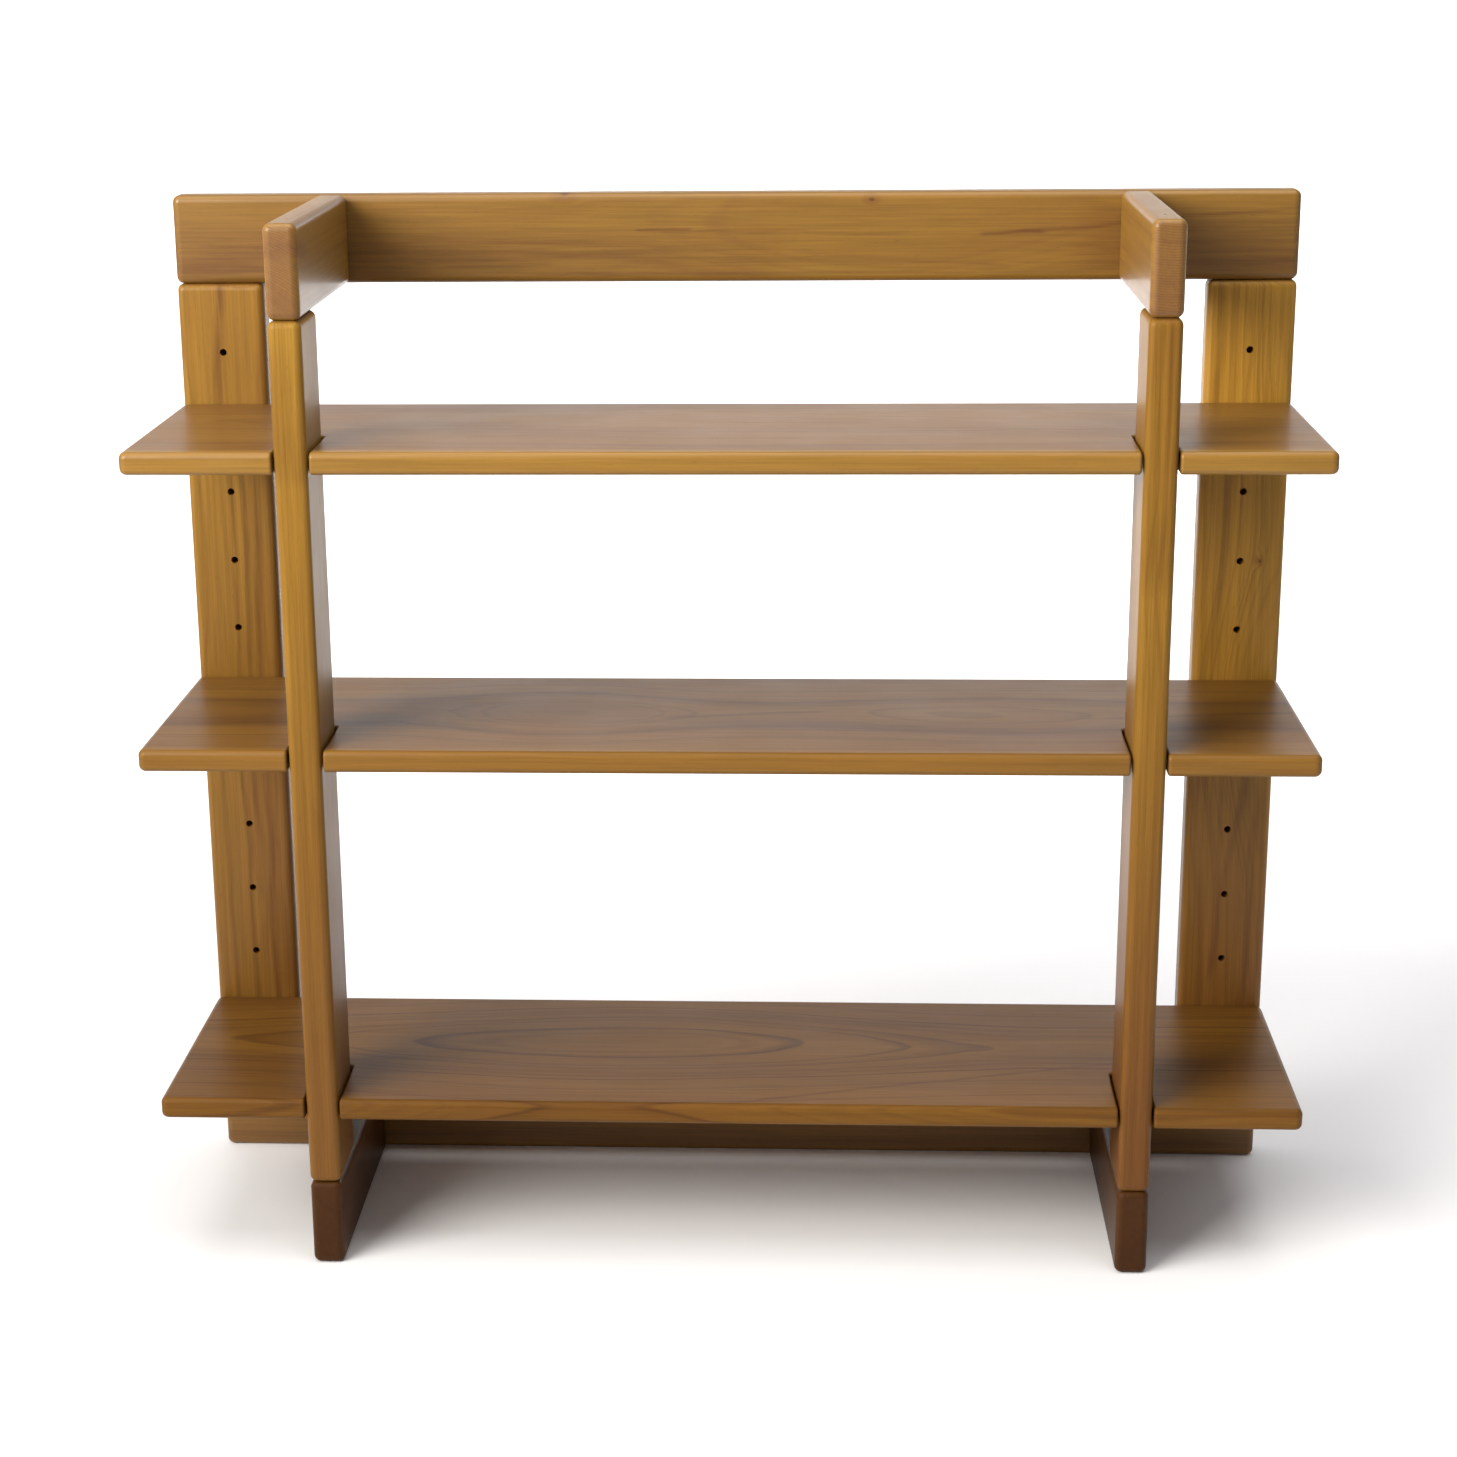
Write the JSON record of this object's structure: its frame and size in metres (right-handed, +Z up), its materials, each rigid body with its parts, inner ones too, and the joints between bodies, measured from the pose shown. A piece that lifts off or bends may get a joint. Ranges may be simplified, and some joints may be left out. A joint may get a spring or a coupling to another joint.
{
  "type": "bookcase with adjustable shelves",
  "caption": "Open wooden bookcase on a rear frame and two side frames, with slotted full-width shelves that rest on pins and can be moved up or down.",
  "frame": {"origin": "on the floor, in the middle of the width and depth", "axes": "+X along the width to the right as seen from the front, +Y to the rear, +Z up"},
  "size_m": [1.25, 0.35, 1.15],
  "materials": {
    "boards": "satin lacquer, golden brown with darker streaks",
    "shelves": "satin lacquer, golden brown",
    "pins": "plain turned wood",
    "dowels": "plain wood"
  },
  "bodies": {
    "frame": {"rear_bottom_rail": "boards", "rear_top_rail": "boards", "left_bottom_side_rail": "boards", "right_bottom_side_rail": "boards", "left_top_side_rail": "boards", "right_top_side_rail": "boards", "left_rear_upright": "boards", "right_rear_upright": "boards", "left_front_upright": "boards", "right_front_upright": "boards", "rear_upright_dowels": "dowels", "front_upright_dowels": "dowels", "side_rail_dowels": "dowels"},
    "bottom_shelf": {"bottom_shelf": "shelves"},
    "middle_shelf": {"middle_shelf": "shelves"},
    "top_shelf": {"top_shelf": "shelves"},
    "bottom_shelf_left_rear_pin": {"bottom_shelf_left_rear_pin": "pins"},
    "bottom_shelf_left_front_pin": {"bottom_shelf_left_front_pin": "pins"},
    "bottom_shelf_right_rear_pin": {"bottom_shelf_right_rear_pin": "pins"},
    "bottom_shelf_right_front_pin": {"bottom_shelf_right_front_pin": "pins"},
    "middle_shelf_left_rear_pin": {"middle_shelf_left_rear_pin": "pins"},
    "middle_shelf_left_front_pin": {"middle_shelf_left_front_pin": "pins"},
    "middle_shelf_right_rear_pin": {"middle_shelf_right_rear_pin": "pins"},
    "middle_shelf_right_front_pin": {"middle_shelf_right_front_pin": "pins"},
    "top_shelf_left_rear_pin": {"top_shelf_left_rear_pin": "pins"},
    "top_shelf_left_front_pin": {"top_shelf_left_front_pin": "pins"},
    "top_shelf_right_rear_pin": {"top_shelf_right_rear_pin": "pins"},
    "top_shelf_right_front_pin": {"top_shelf_right_front_pin": "pins"}
  },
  "joints": [
    {"name": "bottom_shelf_lift", "type": "slide", "parent": "frame", "child": "bottom_shelf", "axis": [0, 0, 1], "range_m": [0, 0.373]},
    {"name": "middle_shelf_lift", "type": "slide", "parent": "frame", "child": "middle_shelf", "axis": [0, 0, 1], "range_m": [0, 0.293]},
    {"name": "top_shelf_lift", "type": "slide", "parent": "frame", "child": "top_shelf", "axis": [0, 0, 1], "range_m": [0, 0.134]},
    {"name": "bottom_shelf_left_rear_pin_pull", "type": "slide", "parent": "frame", "child": "bottom_shelf_left_rear_pin", "axis": [0, -1, 0], "range_m": [0, 0.022]},
    {"name": "bottom_shelf_left_front_pin_pull", "type": "slide", "parent": "frame", "child": "bottom_shelf_left_front_pin", "axis": [0, 1, 0], "range_m": [0, 0.022]},
    {"name": "bottom_shelf_right_rear_pin_pull", "type": "slide", "parent": "frame", "child": "bottom_shelf_right_rear_pin", "axis": [0, -1, 0], "range_m": [0, 0.022]},
    {"name": "bottom_shelf_right_front_pin_pull", "type": "slide", "parent": "frame", "child": "bottom_shelf_right_front_pin", "axis": [0, 1, 0], "range_m": [0, 0.022]},
    {"name": "middle_shelf_left_rear_pin_pull", "type": "slide", "parent": "frame", "child": "middle_shelf_left_rear_pin", "axis": [0, -1, 0], "range_m": [0, 0.022]},
    {"name": "middle_shelf_left_front_pin_pull", "type": "slide", "parent": "frame", "child": "middle_shelf_left_front_pin", "axis": [0, 1, 0], "range_m": [0, 0.022]},
    {"name": "middle_shelf_right_rear_pin_pull", "type": "slide", "parent": "frame", "child": "middle_shelf_right_rear_pin", "axis": [0, -1, 0], "range_m": [0, 0.022]},
    {"name": "middle_shelf_right_front_pin_pull", "type": "slide", "parent": "frame", "child": "middle_shelf_right_front_pin", "axis": [0, 1, 0], "range_m": [0, 0.022]},
    {"name": "top_shelf_left_rear_pin_pull", "type": "slide", "parent": "frame", "child": "top_shelf_left_rear_pin", "axis": [0, -1, 0], "range_m": [0, 0.022]},
    {"name": "top_shelf_left_front_pin_pull", "type": "slide", "parent": "frame", "child": "top_shelf_left_front_pin", "axis": [0, 1, 0], "range_m": [0, 0.022]},
    {"name": "top_shelf_right_rear_pin_pull", "type": "slide", "parent": "frame", "child": "top_shelf_right_rear_pin", "axis": [0, -1, 0], "range_m": [0, 0.022]},
    {"name": "top_shelf_right_front_pin_pull", "type": "slide", "parent": "frame", "child": "top_shelf_right_front_pin", "axis": [0, 1, 0], "range_m": [0, 0.022]}
  ]
}
